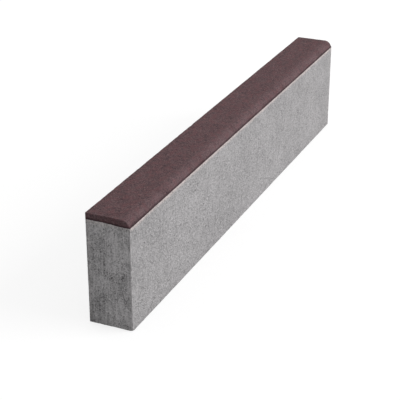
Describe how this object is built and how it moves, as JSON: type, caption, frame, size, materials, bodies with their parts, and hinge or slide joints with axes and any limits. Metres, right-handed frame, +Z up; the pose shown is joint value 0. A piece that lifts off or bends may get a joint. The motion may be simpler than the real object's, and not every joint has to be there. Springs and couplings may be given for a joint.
{
  "type": "concrete kerb stone",
  "caption": "Straight pressed-concrete garden kerb stone with a dark pigmented facing layer and a rounded front top edge, laid end to end to edge a path, lawn or paving.",
  "frame": {"origin": "centre of the base, on the ground", "axes": "+X along the length, +Y across the width from the rounded front edge to the back, +Z up"},
  "size_m": [1, 0.08, 0.2],
  "materials": {
    "grey_concrete": "matte",
    "brown_facing_concrete": "matte"
  },
  "bodies": {
    "root": {"concrete_body": "grey_concrete", "facing_layer": "brown_facing_concrete"}
  },
  "joints": []
}
